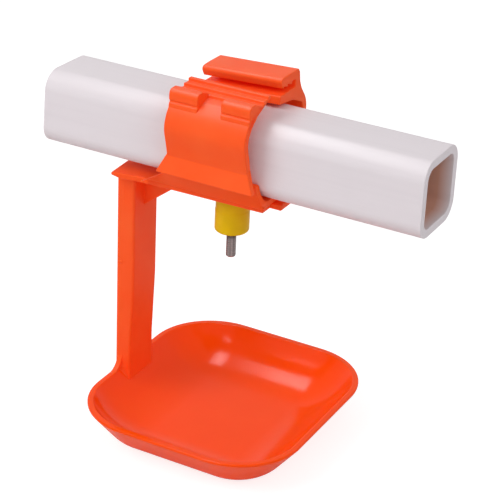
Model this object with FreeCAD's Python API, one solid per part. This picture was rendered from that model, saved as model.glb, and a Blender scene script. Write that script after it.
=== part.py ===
# Poultry drinking cup: an orange saddle clamp on a square water pipe, with a drip cup
# hung below it and a yellow nipple valve that is pushed sideways by its steel trigger pin.
# Frame: X along the pipe, -Y to the front, +Z up, origin at the centre of the cup's flat
# underside, on the axis of the nipple valve. Every size is in millimetres.
import FreeCAD, Part
import math
import os

os.makedirs("parts", exist_ok=True)
Vec = FreeCAD.Vector

# How far a cutting or joining solid reaches past its neighbour, and when two points are one
overcut = 1.0
touch = 1e-6

# Water pipe: square tube, sawn off at both ends
pipe_size = 22.0
pipe_wall = 2.5
pipe_corner_radius = 5.5
pipe_left_reach = 55.3
pipe_right_reach = 60.6

# Drip cup: dish
cup_length = 66.5
cup_width = 72.9
cup_depth = 12.0
cup_wall = 1.7
cup_floor = 1.8
cup_corner_radius = 19.8
cup_draft = 9.0
cup_bottom_radius = 10.2
cup_rim_radius = 0.6
cup_rim_band = 0.7

# Drip cup: arm, plate under the pipe and the web between them
rim_to_pipe_centre = 78.75
arm_thickness = 5.8
arm_outset = 0.6
arm_width = 12.8
arm_edge_radius = 0.5
arm_foot_radius = 5.0
plate_width = 19.5
plate_end_width = 17.2
plate_thickness = 1.7
plate_overhang = 0.6
plate_reach = 13.9
plate_bevel_length = 3.0
plate_bevel_height = 0.8
tab_reach = 17.3
tab_width = 9.0
web_height = 11.1
web_length = 14.2
web_thickness = 2.0

# Saddle clamp: trough under the pipe
seat_clearance = 0.1
trough_wall = 1.8
trough_floor = 2.6
trough_depth = 5.2
trough_base_width = 20.4
trough_bevel_height = 4.9
trough_base_radius = 0.8
trough_side_radius = 2.0
trough_top_radius = 0.4
trough_top_reach = 13.2
trough_right_slant = 0.7
trough_tail_length = 9.4
trough_tail_slope_length = 7.0
trough_tail_height = 4.3
trough_tail_rise = 0.6

# Saddle clamp: two jaws that bulge round the pipe. The rear one stands lower at its arm end
clamp_length = 24.6
jaw_wall = 2.3
waist_gap = 4.9
waist_height = 8.5
bulge_gap = 6.9
bulge_depth = 4.2
foot_height = 4.2
foot_flare_out = 1.6
foot_flare_side = 2.5
foot_wall = 1.9
foot_overlap = 1.6
root_inset = 1.9
root_height = 2.4
rear_sag = 1.3

# Outer lines of the jaws above the bulge, as (distance out from the pipe's side, height above
# the pipe's top)
front_rise = [(6.2, -1.2), (4.4, 1.6), (1.9, 3.6)]
rear_rise = [(6.3, -1.6), (5.0, 0.4), (3.1, 2.9), (2.1, 5.2)]

# Saddle clamp: toothed tongue of the front jaw
tongue_reach = 4.0
tongue_rise = 6.2
tongue_slope = 0.3
tongue_thickness = 1.8
tongue_tip_length = 1.4
tongue_tip_thickness = 0.6
tooth_pitch = 2.4
tooth_height = 0.8
tooth_back = 0.15
tooth_count = 3

# Saddle clamp: grooved finger bosses, as (out from the pipe's side, above its top, corner radius)
boss_length = 8.8
boss_outline = [(0.8, 2.8, 0), (-2.4, 3.7, 0), (-2.4, 4.6, 0), (1.5, 6.2, 0.6), (4.6, 6.2, 1.6),
                (4.6, 3.2, 0.3), (4.1, 2.8, 0.3), (4.7, 2.2, 0.5), (4.9, 0.0, 0), (4.4, -0.8, 0)]

# Saddle clamp: slotted hook of the rear jaw
hook_front = 1.0
hook_height = 8.7
hook_back = [(4.0, -0.9, 0), (3.1, 2.6, 0), (2.1, 5.2, 0), (1.7, 7.7, 0), (0.9, 8.8, 0.5)]
hook_under = [(-1.6, 0.5, 0), (2.4, -0.8, 0)]
lip_thickness = 2.5
lip_crown = 0.2
lip_radius = 0.7
nose_setback = 2.1
slot_height = 2.2
slot_end = 10.2
ramp_setback = 0.4
ramp_thickness = 2.5
hook_tooth_height = 0.7
hook_tooth_back = 0.25
hook_tooth_count = 3

# Nipple valve: stem, screw-on cap and the pieces inside
spigot_diameter = 7.4
spigot_standout = 2.6
spigot_lip = 0.9
spigot_clearance = 0.1
collar_diameter = 9.3
collar_height = 3.0
cap_diameter = 9.8
cap_height = 8.4
cap_edge_radius = 0.5
cap_mouth_diameter = 4.8
screw_diameter = 7.8
screw_length = 3.6
chamber_diameter = 5.9
seat_thickness = 1.5
seat_hole_diameter = 3.0
ball_diameter = 4.2
ball_chamber_diameter = 4.9
ball_exit_diameter = 3.4
fit_clearance = 0.04
lift_gap = 0.3

# Trigger pin and the loose washer that it stands on
pin_diameter = 2.8
pin_standout = 8.7
pin_end_radius = 0.5
pin_head_diameter = 4.8
pin_head_thickness = 1.2
pin_stem_diameter = 1.0
washer_thickness = 1.1
washer_hole_diameter = 3.4
steel_edge_radius = 0.2

# Rubber ring between the pipe and the trough's floor
seal_width = 1.7
seal_thickness = 1.3
seal_edge_radius = 0.2
pipe_hole_clearance = 0.3

# Heights and places that follow from the sizes above
pipe_half = pipe_size / 2
rim_z = cup_depth
knee_z = rim_z - cup_rim_band
pipe_z = rim_z + rim_to_pipe_centre
pipe_top_z = pipe_z + pipe_half
pipe_bottom_z = pipe_z - pipe_half
trough_bottom_z = pipe_bottom_z - trough_floor
plate_bottom_z = trough_bottom_z - plate_thickness
cap_top_z = plate_bottom_z - collar_height
cap_bottom_z = cap_top_z - cap_height
screw_end_z = cap_top_z - screw_length
spigot_top_z = pipe_bottom_z + pipe_wall + spigot_standout
arm_outer_x = -cup_length / 2 - arm_outset
arm_inner_x = arm_outer_x + arm_thickness
clamp_half = clamp_length / 2
waist_z = pipe_bottom_z + waist_height
foot_z = waist_z - foot_height
seat_top_z = trough_bottom_z
seat_bottom_z = seat_top_z - seat_thickness
washer_top_z = screw_end_z - fit_clearance
washer_bottom_z = washer_top_z - washer_thickness
pin_head_bottom_z = washer_top_z + fit_clearance
ball_radius = ball_diameter / 2
seat_hole_radius = seat_hole_diameter / 2
ball_rise = math.sqrt(ball_radius ** 2 - seat_hole_radius ** 2)
ball_z = seat_top_z + ball_rise + fit_clearance


def rounded_wire(corners, place):
    """Closed outline through (u, v, radius) corners, each rounded by a tangent arc of its radius."""
    edges = []
    starts = []
    ends = []
    middles = []
    count = len(corners)
    for i in range(count):
        u, v, radius = corners[i]
        here = Vec(u, v, 0)
        before = Vec(corners[i - 1][0], corners[i - 1][1], 0) - here
        after = Vec(corners[(i + 1) % count][0], corners[(i + 1) % count][1], 0) - here
        before.normalize()
        after.normalize()
        half_angle = before.getAngle(after) / 2
        bisector = before + after
        if radius > 0 and bisector.Length > touch:
            bisector.normalize()
            setback = radius / math.tan(half_angle)
            centre_distance = radius / math.sin(half_angle)
            starts.append(here + before * setback)
            ends.append(here + after * setback)
            middles.append(here + bisector * (centre_distance - radius))
        else:
            starts.append(here)
            ends.append(here)
            middles.append(None)
    for i in range(count):
        if middles[i] is not None:
            edges.append(Part.Arc(place(starts[i]), place(middles[i]), place(ends[i])).toShape())
        following = starts[(i + 1) % count]
        if (following - ends[i]).Length > touch:
            edges.append(Part.LineSegment(place(ends[i]), place(following)).toShape())
    return Part.Wire(edges)


def prism_along_x(corners, x_from, x_to, rise=0):
    """Solid of a (y, z, radius) outline carried along X, and up by a rise on the way."""
    face = Part.Face(rounded_wire(corners, lambda p: Vec(x_from, p.x, p.y)))
    return face.extrude(Vec(x_to - x_from, 0, rise))


def prism_along_y(corners, y_from, y_to):
    """Solid of an (x, z, radius) outline carried along Y."""
    face = Part.Face(rounded_wire(corners, lambda p: Vec(p.x, y_from, p.y)))
    return face.extrude(Vec(0, y_to - y_from, 0))


def prism_along_z(corners, z_from, z_to):
    """Solid of an (x, y, radius) outline carried along Z."""
    face = Part.Face(rounded_wire(corners, lambda p: Vec(p.x, p.y, z_from)))
    return face.extrude(Vec(0, 0, z_to - z_from))


def block(x_from, x_to, y_from, y_to, z_from, z_to):
    """Plain box between two corners."""
    return Part.makeBox(x_to - x_from, y_to - y_from, z_to - z_from, Vec(x_from, y_from, z_from))


def disc(diameter, z_from, z_to):
    """Cylinder on the nipple axis."""
    return Part.makeCylinder(diameter / 2, z_to - z_from, Vec(0, 0, z_from))


def turned(corners):
    """Solid turned about the nipple axis from an (r, z, radius) outline."""
    face = Part.Face(rounded_wire(corners, lambda p: Vec(p.x, 0, p.y)))
    return face.revolve(Vec(0, 0, 0), Vec(0, 0, 1), 360)


def rounded_box_corners(half_x, half_y, radius):
    """Corners of a rounded rectangle about the origin."""
    return [(half_x, -half_y, radius), (half_x, half_y, radius),
            (-half_x, half_y, radius), (-half_x, -half_y, radius)]


def dish(inset, bottom_radius, z_bottom, z_top):
    """Cup's outer form, or a smaller one inset from it: leaning walls, round bottom, upright rim band."""
    half_x, half_y = cup_length / 2 - inset, cup_width / 2 - inset
    radius = cup_corner_radius - inset
    draft = cup_draft * (knee_z - z_bottom) / knee_z
    knee = rounded_wire(rounded_box_corners(half_x, half_y, radius), lambda p: Vec(p.x, p.y, knee_z))
    base = rounded_wire(rounded_box_corners(half_x - draft, half_y - draft, radius - draft),
                        lambda p: Vec(p.x, p.y, z_bottom))
    body = Part.makeLoft([base, knee], True, True)
    edges = [e for e in body.Edges if e.BoundBox.ZMax < z_bottom + touch]
    band = prism_along_z(rounded_box_corners(half_x, half_y, radius), knee_z, z_top)
    return body.makeFillet(bottom_radius, edges).fuse(band)


def cup_outside():
    """Solid inside the dish's outer surface."""
    return dish(0, cup_bottom_radius, 0, rim_z)


def cup_shell():
    """Dish with its wall, floor and rounded rim."""
    inside = dish(cup_wall, cup_bottom_radius - cup_wall, cup_floor, rim_z + overcut)
    shell = cup_outside().cut(inside)
    rim = [e for e in shell.Edges if e.BoundBox.ZMin > rim_z - touch]
    return shell.makeFillet(cup_rim_radius, rim)


def arm():
    """Upright arm from inside the dish's wall to the plate, with rounded corners and a spread foot."""
    half = arm_width / 2
    corners = [(arm_outer_x, -half, arm_edge_radius), (arm_inner_x, -half, arm_edge_radius),
               (arm_inner_x, half, arm_edge_radius), (arm_outer_x, half, arm_edge_radius)]
    post = prism_along_z(corners, rim_z - cup_rim_radius, plate_bottom_z + plate_thickness / 2)
    root = block(arm_outer_x, arm_inner_x, -half, half, cup_floor / 2, rim_z).common(cup_outside())
    post = post.fuse(root)
    for side in (-1, 1):
        post = post.fuse(arm_foot(side * half, side))
    return post


def arm_foot(y_face, side):
    """Concave spread between the arm's side face and the top of the rim."""
    sink = cup_rim_radius
    reach = arm_foot_radius
    low = rim_z - sink
    face = y_face - side * arm_edge_radius
    top = Vec(0, y_face, rim_z + reach)
    end = Vec(0, y_face + side * reach, rim_z)
    centre = Vec(0, y_face + side * reach, rim_z + reach)
    middle = centre + Vec(0, -side, -1).normalize() * reach
    wire = Part.Wire([Part.Arc(top, middle, end).toShape(),
                      Part.LineSegment(end, Vec(0, end.y, low)).toShape(),
                      Part.LineSegment(Vec(0, end.y, low), Vec(0, face, low)).toShape(),
                      Part.LineSegment(Vec(0, face, low), Vec(0, face, top.z)).toShape(),
                      Part.LineSegment(Vec(0, face, top.z), top).toShape()])
    wire.translate(Vec(-cup_length / 2 + cup_rim_radius, 0, 0))
    return Part.Face(wire).extrude(Vec(cup_wall - cup_rim_radius, 0, 0))


def plate():
    """Plate below the trough: bevelled at the arm, narrowing to its free end with a tab on it."""
    half = plate_width / 2
    end = plate_end_width / 2
    start = arm_outer_x - plate_overhang
    side_outline = [(start, trough_bottom_z, 0), (start, plate_bottom_z + plate_bevel_height, 0),
                    (start + plate_bevel_length, plate_bottom_z, 0),
                    (plate_reach, plate_bottom_z, 0), (plate_reach, trough_bottom_z, 0)]
    taper = prism_along_z([(start, -half, 0), (plate_reach, -end, 0), (plate_reach, end, 0),
                           (start, half, 0)], plate_bottom_z, trough_bottom_z)
    broad = prism_along_y(side_outline, -half, half).common(taper)
    tab = block(plate_reach - plate_thickness, tab_reach, -tab_width / 2, tab_width / 2,
                plate_bottom_z, trough_bottom_z)
    return broad.fuse(tab)


def web():
    """Three-cornered web between the plate's underside and the arm."""
    corners = [(arm_inner_x - overcut, plate_bottom_z + plate_thickness / 2, 0),
               (arm_inner_x + web_length, plate_bottom_z + plate_thickness / 2, 0),
               (arm_inner_x + web_length, plate_bottom_z, 0),
               (arm_inner_x, plate_bottom_z - web_height, 0),
               (arm_inner_x - overcut, plate_bottom_z - web_height, 0)]
    return prism_along_y(corners, -web_thickness / 2, web_thickness / 2)


def drip_cup():
    """Second moulding: dish, arm, web and plate, with the hole for the nipple's spigot."""
    body = cup_shell().fuse([arm(), plate(), web()])
    hole = disc(spigot_diameter + 2 * spigot_clearance, plate_bottom_z - overcut, trough_bottom_z + overcut)
    return body.cut(hole).removeSplitter()


def pipe_outline(gap):
    """Corners of the pipe's outside, grown by a gap."""
    half = pipe_half + gap
    radius = pipe_corner_radius + gap
    return [(-half, pipe_z - half, radius), (half, pipe_z - half, radius),
            (half, pipe_z + half, radius), (-half, pipe_z + half, radius)]


def water_pipe():
    """Square pipe with a rounded bore and the hole drilled for the spigot."""
    tube = prism_along_x(pipe_outline(0), -pipe_left_reach, pipe_right_reach)
    bore = prism_along_x(pipe_outline(-pipe_wall), -pipe_left_reach - overcut, pipe_right_reach + overcut)
    hole = disc(spigot_diameter + 2 * pipe_hole_clearance, pipe_bottom_z - overcut, pipe_z)
    return tube.cut(bore).cut(hole)


def trough():
    """Channel that cradles the lower half of the pipe, with its side walls cut to their side view."""
    outer = pipe_half + seat_clearance + trough_wall
    top = pipe_bottom_z + trough_depth
    base = trough_base_width / 2
    bevel = trough_bottom_z + trough_bevel_height
    right = trough_top_reach + trough_right_slant
    left = -trough_top_reach - trough_tail_length
    section = [(-base, trough_bottom_z, trough_base_radius), (base, trough_bottom_z, trough_base_radius),
               (outer, bevel, trough_side_radius), (outer, top, trough_top_radius),
               (-outer, top, trough_top_radius), (-outer, bevel, trough_side_radius)]
    solid = prism_along_x(section, left, right)
    seat = [(y, pipe_bottom_z if z < pipe_z else z, radius) for y, z, radius in pipe_outline(seat_clearance)]
    solid = solid.cut(prism_along_x(seat, left - overcut, right + overcut))
    tail_z = trough_bottom_z + trough_tail_height
    side_view = [(left, trough_bottom_z, 0), (right, trough_bottom_z, 0),
                 (trough_top_reach, top, 0), (-trough_top_reach, top, 0),
                 (-trough_top_reach, tail_z + trough_tail_rise, 0),
                 (left + trough_tail_slope_length, tail_z, 0)]
    return solid.common(prism_along_y(side_view, -outer, outer))


def jaw_line(upper):
    """Outer line of a jaw from its waist over the bulge and on through the given upper points."""
    waist = pipe_half + waist_gap
    bulge = pipe_half + bulge_gap
    bulge_z = pipe_top_z - bulge_depth
    points = [(waist, waist_z), ((waist + bulge) / 2, (waist_z + bulge_z) / 2), (bulge, bulge_z)]
    points += [(pipe_half + out, pipe_top_z + up) for out, up in upper]
    line = Part.BSplineCurve()
    line.interpolate([Vec(0, y, z) for y, z in points])
    return line


def jaw(side, upper, sag):
    """Springy curved wall: a smooth line and its copy one wall thickness further in."""
    outer = jaw_line(upper)
    steps = 9
    inner_points = []
    for i in range(steps):
        along = outer.FirstParameter + (outer.LastParameter - outer.FirstParameter) * i / (steps - 1)
        tangent = outer.tangent(along)[0]
        inner_points.append(outer.value(along) + Vec(0, -tangent.z, tangent.y) * jaw_wall)
    inner = Part.BSplineCurve()
    inner.interpolate(inner_points)
    first, last = outer.value(outer.FirstParameter), outer.value(outer.LastParameter)
    wire = Part.Wire([outer.toShape(), Part.LineSegment(last, inner_points[-1]).toShape(),
                      inner.toShape(), Part.LineSegment(inner_points[0], first).toShape()])
    face = Part.Face(wire)
    face.translate(Vec(-clamp_half, 0, -sag))
    wall = face.extrude(Vec(clamp_length, 0, sag))
    return wall if side > 0 else wall.mirror(Vec(0, 0, 0), Vec(0, 1, 0))


def rectangle(half_x, y_from, y_to, z):
    """Flat rectangle in X and Y as a wire."""
    return Part.makePolygon([Vec(-half_x, y_from, z), Vec(half_x, y_from, z), Vec(half_x, y_to, z),
                             Vec(-half_x, y_to, z), Vec(-half_x, y_from, z)])


def foot(side):
    """Skirt below a jaw's waist that spreads out and to both ends."""
    waist = pipe_half + waist_gap
    upper = rectangle(clamp_half, side * (waist - jaw_wall), side * waist, waist_z + foot_overlap)
    outer = waist + foot_flare_out
    lower = rectangle(clamp_half + foot_flare_side, side * (outer - foot_wall), side * outer, foot_z)
    return Part.makeLoft([upper, lower], True, True)


def jaw_root(side):
    """Rib that joins a jaw to the trough's side wall, set back from the clamp's ends."""
    wall = pipe_half + seat_clearance + trough_wall / 2
    outside = pipe_half + seat_clearance + trough_wall
    inside = pipe_half + waist_gap - jaw_wall
    middle = inside + jaw_wall / 2
    top = pipe_bottom_z + trough_depth
    low = top - root_height
    outline = [(side * wall, low, 0), (side * wall, top, 0), (side * inside, waist_z, 0),
               (side * middle, waist_z, 0), (side * middle, low, 0), (side * outside, low, 0)]
    return prism_along_x(outline, -clamp_half + root_inset, clamp_half - root_inset)


def beside_pipe(side, outline):
    """Turns (out from the pipe's side, above its top, radius) corners into (y, z, radius)."""
    return [(side * (pipe_half + out), pipe_top_z + up, radius) for out, up, radius in outline]


def tongue():
    """Tongue of the front jaw: a sloping strip with a row of saw teeth on its upper face."""
    tip_z = pipe_top_z + tongue_rise
    outline = [(-tongue_reach, tip_z, tongue_tip_thickness / 3)]
    for i in range(tooth_count):
        run = tongue_tip_length + i * tooth_pitch
        crest_z = tip_z + (tongue_tip_length - run) * tongue_slope
        outline.append((-tongue_reach - run, crest_z, 0))
        outline.append((-tongue_reach - run - tooth_back, crest_z - tooth_height, 0))
    end_out, end_up = front_rise[-1]
    outline += beside_pipe(-1, [(end_out, end_up, 0), (end_out, end_up - jaw_wall, 0)])
    root = tooth_count * tooth_pitch
    outline.append((-tongue_reach - root, tip_z - root * tongue_slope - tongue_thickness, 0))
    outline.append((-tongue_reach, tip_z - tongue_tip_thickness, tongue_tip_thickness / 3))
    return prism_along_x(outline, -clamp_half, clamp_half)


def boss(side):
    """Grooved finger boss on the front jaw's shoulder, at one end of the clamp."""
    ends = sorted((side * (clamp_half - boss_length), side * clamp_half))
    return prism_along_x(beside_pipe(-1, boss_outline), *ends)


def hook():
    """Head of the rear jaw: upper lip with saw teeth below it, slot and lower ramp."""
    top = pipe_top_z + hook_height
    roof = top - lip_thickness
    floor = roof - slot_height
    ramp = hook_front + ramp_setback
    nose = hook_front + nose_setback
    outline = [(ramp, floor, ramp_setback), (ramp, floor - ramp_thickness, ramp_setback)]
    outline += beside_pipe(1, hook_under + hook_back)
    outline += [((hook_front + pipe_half) / 2, top + lip_crown, 0), (hook_front, top, lip_radius),
                (nose, roof - hook_tooth_height, hook_tooth_back)]
    pitch = (slot_end - nose) / hook_tooth_count
    for i in range(hook_tooth_count):
        root = nose + hook_tooth_back + i * pitch
        outline.append((root, roof, 0))
        if i < hook_tooth_count - 1:
            outline.append((root + pitch - hook_tooth_back, roof - hook_tooth_height, 0))
    outline += [(slot_end, roof, 0), (slot_end, floor, 0)]
    lowered = [(y, z - rear_sag, radius) for y, z, radius in outline]
    return prism_along_x(lowered, -clamp_half, clamp_half, rear_sag)


def saddle_clamp():
    """First moulding: trough, two jaws with spread feet, tongue, bosses and hook."""
    pieces = [jaw(-1, front_rise, 0), jaw(1, rear_rise, rear_sag), tongue(), hook()]
    for side in (-1, 1):
        pieces += [foot(side), jaw_root(side), boss(side)]
    body = trough().fuse(pieces)
    ring = disc(spigot_diameter + 2 * seal_width, pipe_bottom_z - seal_thickness, pipe_z)
    hole = disc(spigot_diameter + 2 * spigot_clearance, trough_bottom_z - overcut, pipe_z)
    return body.cut(ring).cut(hole).removeSplitter()


def pipe_seal():
    """Flat rubber ring round the spigot, in its recess below the pipe."""
    inner = spigot_diameter / 2 + fit_clearance
    outer = spigot_diameter / 2 + seal_width - fit_clearance
    low = pipe_bottom_z - seal_thickness
    return turned([(inner, low, seal_edge_radius), (outer, low, seal_edge_radius),
                   (outer, pipe_bottom_z, seal_edge_radius), (inner, pipe_bottom_z, seal_edge_radius)])


def nipple_stem():
    """Upper half of the valve: spigot, collar and the screw end inside the cap."""
    stem = disc(spigot_diameter, plate_bottom_z, spigot_top_z)
    collar = disc(collar_diameter, cap_top_z, plate_bottom_z)
    screw = disc(screw_diameter, screw_end_z, cap_top_z)
    body = stem.fuse([collar, screw])
    low_bore = disc(chamber_diameter, screw_end_z - overcut, seat_top_z)
    ball_bore = disc(ball_chamber_diameter, seat_top_z - overcut, spigot_top_z - spigot_lip)
    exit_bore = disc(ball_exit_diameter, spigot_top_z - spigot_lip - overcut, spigot_top_z + overcut)
    return body.cut(low_bore).cut(ball_bore).cut(exit_bore).removeSplitter()


def nipple_cap():
    """Lower half of the valve: a sleeve with a shoulder for the washer and an open mouth."""
    outer = cap_diameter / 2
    socket = screw_diameter / 2 + fit_clearance
    pocket = chamber_diameter / 2 + fit_clearance
    mouth = cap_mouth_diameter / 2
    shoulder_z = washer_bottom_z - fit_clearance
    return turned([(socket, cap_top_z, 0), (outer, cap_top_z, cap_edge_radius / 2),
                   (outer, cap_bottom_z, cap_edge_radius), (mouth, cap_bottom_z, 0),
                   (mouth, shoulder_z, 0), (pocket, shoulder_z, 0), (pocket, screw_end_z, 0),
                   (socket, screw_end_z, 0)])


def upper_seat():
    """Steel ring that the ball closes."""
    outer = chamber_diameter / 2 - fit_clearance / 2
    return turned([(seat_hole_radius, seat_bottom_z, 0), (outer, seat_bottom_z, 0),
                   (outer, seat_top_z, 0), (seat_hole_radius, seat_top_z, 0)])


def seat_washer():
    """Loose steel washer that carries the trigger pin's head."""
    inner = washer_hole_diameter / 2
    outer = chamber_diameter / 2 - fit_clearance / 2
    return turned([(inner, washer_bottom_z, steel_edge_radius), (outer, washer_bottom_z, 0),
                   (outer, washer_top_z, 0), (inner, washer_top_z, 0)])


def trigger_pin():
    """Steel pin with a flat head that stands on the washer and a thin stem below the ball."""
    head_top = pin_head_bottom_z + pin_head_thickness
    stem_top = ball_z - ball_radius - lift_gap
    tip_z = cap_bottom_z - pin_standout
    return turned([(0, tip_z, 0), (pin_diameter / 2, tip_z, pin_end_radius),
                   (pin_diameter / 2, pin_head_bottom_z, 0), (pin_head_diameter / 2, pin_head_bottom_z, 0),
                   (pin_head_diameter / 2, head_top, steel_edge_radius), (pin_stem_diameter / 2, head_top, 0),
                   (pin_stem_diameter / 2, stem_top, 0), (0, stem_top, 0)])


def valve_ball():
    """Steel ball that rests on the upper seat."""
    return Part.makeSphere(ball_radius, Vec(0, 0, ball_z))


pieces = {
    "water_pipe": water_pipe,
    "saddle_clamp": saddle_clamp,
    "drip_cup": drip_cup,
    "pipe_seal": pipe_seal,
    "nipple_stem": nipple_stem,
    "nipple_cap": nipple_cap,
    "upper_seat": upper_seat,
    "valve_ball": valve_ball,
    "seat_washer": seat_washer,
    "trigger_pin": trigger_pin,
}

for name, make in pieces.items():
    shape = make()
    if len(shape.Solids) == 1:
        shape = shape.Solids[0]
    box = shape.BoundBox
    print(name, "solids", len(shape.Solids), "valid", shape.isValid(), "volume", round(shape.Volume, 1),
          "box", [round(v, 2) for v in (box.XMin, box.YMin, box.ZMin, box.XMax, box.YMax, box.ZMax)])
    shape.exportStep("parts/" + name + ".step")
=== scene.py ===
# Poultry drinking cup: an orange saddle clamp and drip cup on a square water pipe, with a yellow
# nipple valve between them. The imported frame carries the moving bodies, and the surfaces here
# give each moulding its rounded edges, rim, teeth and finish. Sizes are in millimetres until a
# mesh is written, where they become metres.
import math

import bpy
import numpy as np
from bpy.props import FloatProperty, FloatVectorProperty, PointerProperty
from mathutils import Matrix, Vector


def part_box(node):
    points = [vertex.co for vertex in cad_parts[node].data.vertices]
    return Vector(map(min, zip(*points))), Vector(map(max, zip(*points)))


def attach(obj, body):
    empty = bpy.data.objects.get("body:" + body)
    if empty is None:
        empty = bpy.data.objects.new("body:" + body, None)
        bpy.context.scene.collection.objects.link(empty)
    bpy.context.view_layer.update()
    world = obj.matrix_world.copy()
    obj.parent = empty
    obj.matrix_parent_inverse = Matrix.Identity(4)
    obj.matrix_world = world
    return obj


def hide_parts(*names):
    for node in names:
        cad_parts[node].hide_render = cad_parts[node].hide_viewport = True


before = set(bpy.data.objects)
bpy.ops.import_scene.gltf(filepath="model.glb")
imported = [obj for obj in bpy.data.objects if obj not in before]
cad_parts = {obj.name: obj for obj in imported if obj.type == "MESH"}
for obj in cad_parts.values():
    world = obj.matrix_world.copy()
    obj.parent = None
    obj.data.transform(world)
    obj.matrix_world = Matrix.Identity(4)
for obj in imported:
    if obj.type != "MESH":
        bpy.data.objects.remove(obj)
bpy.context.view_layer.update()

bl_info = {
    "name": "Poultry drinking cup",
    "version": (1, 0, 0),
    "blender": (4, 5, 0),
    "location": "View3D > Sidebar > Drinker",
    "description": "Dresses the packed drinker frame with its mouldings, pipe, valve and studio",
    "category": "Add Mesh",
}

MM = 0.001


def span(node, axis):
    """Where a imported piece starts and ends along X, Y or Z, as 0, 1 or 2, in millimetres."""
    low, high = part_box(node)
    return low[axis] / MM, high[axis] / MM


PIPE_START, PIPE_END = span("water_pipe", 0)
PIPE_BOTTOM, PIPE_TOP = span("water_pipe", 2)
PIPE_MID, PIPE_HALF = (PIPE_BOTTOM + PIPE_TOP) / 2, (PIPE_TOP - PIPE_BOTTOM) / 2
CAP_FOOT, CAP_TOP = span("nipple_cap", 2)
STEM_FOOT, STEM_TOP = span("nipple_stem", 2)
PIN_FOOT, PIN_TOP = span("trigger_pin", 2)
SEAT_TOP = span("upper_seat", 2)[1]
TROUGH_BOTTOM = span("saddle_clamp", 2)[0]

# Sizes that several pieces share. A jaw meets its foot and its root at its waist, which stands the
# waist gap out from the pipe's side. The rim band is the upright part of the dish's wall
SEAT_CLEARANCE = 0.1
TROUGH_WALL = 1.8
TROUGH_HALF = PIPE_HALF + SEAT_CLEARANCE + TROUGH_WALL
TROUGH_TOP = PIPE_BOTTOM + 5.2
WAIST = PIPE_BOTTOM + 8.5
WAIST_GAP = 4.9
PLATE_BOTTOM = TROUGH_BOTTOM - 1.7
PLATE_BEVEL = 0.8
RIM_BAND = 0.7
ARM_OUTSET = 0.6

# Faces that meet at more than this keep a hard edge
HARD_EDGE = math.radians(38)


def srgb(code):
    """Linear colour of an sRGB hex value: each channel c becomes ((c + 0.055) / 1.055) ** 2.4."""
    channels = [int(code[i:i + 2], 16) / 255 for i in (1, 3, 5)]
    return [c / 12.92 if c <= 0.04045 else ((c + 0.055) / 1.055) ** 2.4 for c in channels]


# Settings

def size(name, default, about):
    """One length of the object, kept in metres."""
    return FloatProperty(name=name, description=about, default=default * MM, min=0.0,
                         precision=5, unit="LENGTH", subtype="DISTANCE")


def colour(name, code, about):
    """One colour of a finish, given as an sRGB hex value."""
    return FloatVectorProperty(name=name, description=about, default=srgb(code), size=3,
                               min=0.0, max=1.0, subtype="COLOR")


def angle(name, degrees, about):
    """One angle of the camera, given in degrees."""
    return FloatProperty(name=name, description=about, default=math.radians(degrees),
                         subtype="ANGLE")


def power(name, watts, about):
    """Power of one lamp."""
    return FloatProperty(name=name, description=about, default=watts, min=0.0, unit="POWER")


class DrinkerPipe(bpy.types.PropertyGroup):
    """Sizes of the square water pipe"""
    wall: size("Wall", 2.5, "Thickness of the square pipe's wall")
    corner: size("Corner radius", 5.5, "Outside radius of the square pipe's corners")
    burr: size("Sawn edge", 0.25, "Rounding of the sawn ends")
    lean: size("Saw lean", 0.6, "How far the left cut leans in at its top and out at its foot")
    skew: size("Saw skew", 0.35, "How far the left cut leans in at its back and out at its front")


class DrinkerCup(bpy.types.PropertyGroup):
    """Sizes of the drip cup"""
    length: size("Length", 66.5, "Outside length of the rim, along the pipe")
    width: size("Width", 72.9, "Outside width of the rim, across the pipe")
    depth: size("Depth", 12.0, "Height of the rim over the underside")
    corner: size("Corner radius", 19.8, "Outside radius of the rim's corners")
    draft: size("Draft", 9.0, "How far the walls lean in from the rim to the bottom")
    wall: size("Wall", 1.7, "Width of the rim, and level thickness of the wall")
    floor: size("Floor", 1.8, "Thickness of the floor")
    arm_width: size("Arm width", 12.8, "Width of the arm across the pipe")
    arm_depth: size("Arm depth", 5.8, "Depth of the arm along the pipe")


class DrinkerClamp(bpy.types.PropertyGroup):
    """Sizes of the saddle clamp"""
    length: size("Length", 24.6, "Length of the jaws along the pipe")
    wall: size("Jaw wall", 2.3, "Thickness of the springy jaws")
    edge: size("Edge radius", 0.3, "Rounding of the moulded edges")
    sag: size("Hook sag", 1.3, "How much lower the rear jaw stands at its arm end")


class DrinkerValve(bpy.types.PropertyGroup):
    """Sizes of the nipple valve"""
    cap: size("Cap", 9.8, "Diameter of the yellow cap")
    pin: size("Pin", 2.8, "Diameter of the trigger pin")


class DrinkerFinish(bpy.types.PropertyGroup):
    """Colours of the finishes"""
    orange: colour("Orange", "#F95F26", "Moulded polypropylene of the clamp and the arm")
    orange_cup: colour("Orange, cup", "#FA4F06", "Moulded polypropylene of the dish, a bit redder")
    orange_deep: colour("Orange, deep", "#F54A08", "Thicker, more saturated patches of the orange")
    pipe: colour("Pipe", "#E5DDE1", "Extruded pipe, a cool white")
    pipe_shade: colour("Pipe, streaks", "#DAD1D6", "Darker streaks along the pipe")
    pipe_speck: colour("Pipe, specks", "#8E7F78", "Dark specks in the pipe's wall")
    # The bore's brown is painted shade, the warm light that the orange pieces send into the bore
    pipe_bore_shade: colour("Pipe, painted bore shade", "#D4A28E", "Warm brown shade painted on the bore's walls")
    yellow: colour("Yellow", "#EEC400", "Moulded acetal of the valve")
    steel: colour("Steel", "#998A88", "Turned steel of the pin")
    # A dark band painted on the pin below the cap, as the cap's shade and reflection there
    painted_cap_shade: colour("Painted cap shade", "#4C3D2C", "Band of lime where the pin leaves the cap")
    rubber: colour("Rubber", "#1B1B1B", "Moulded ring between the pipe and the clamp")


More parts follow.
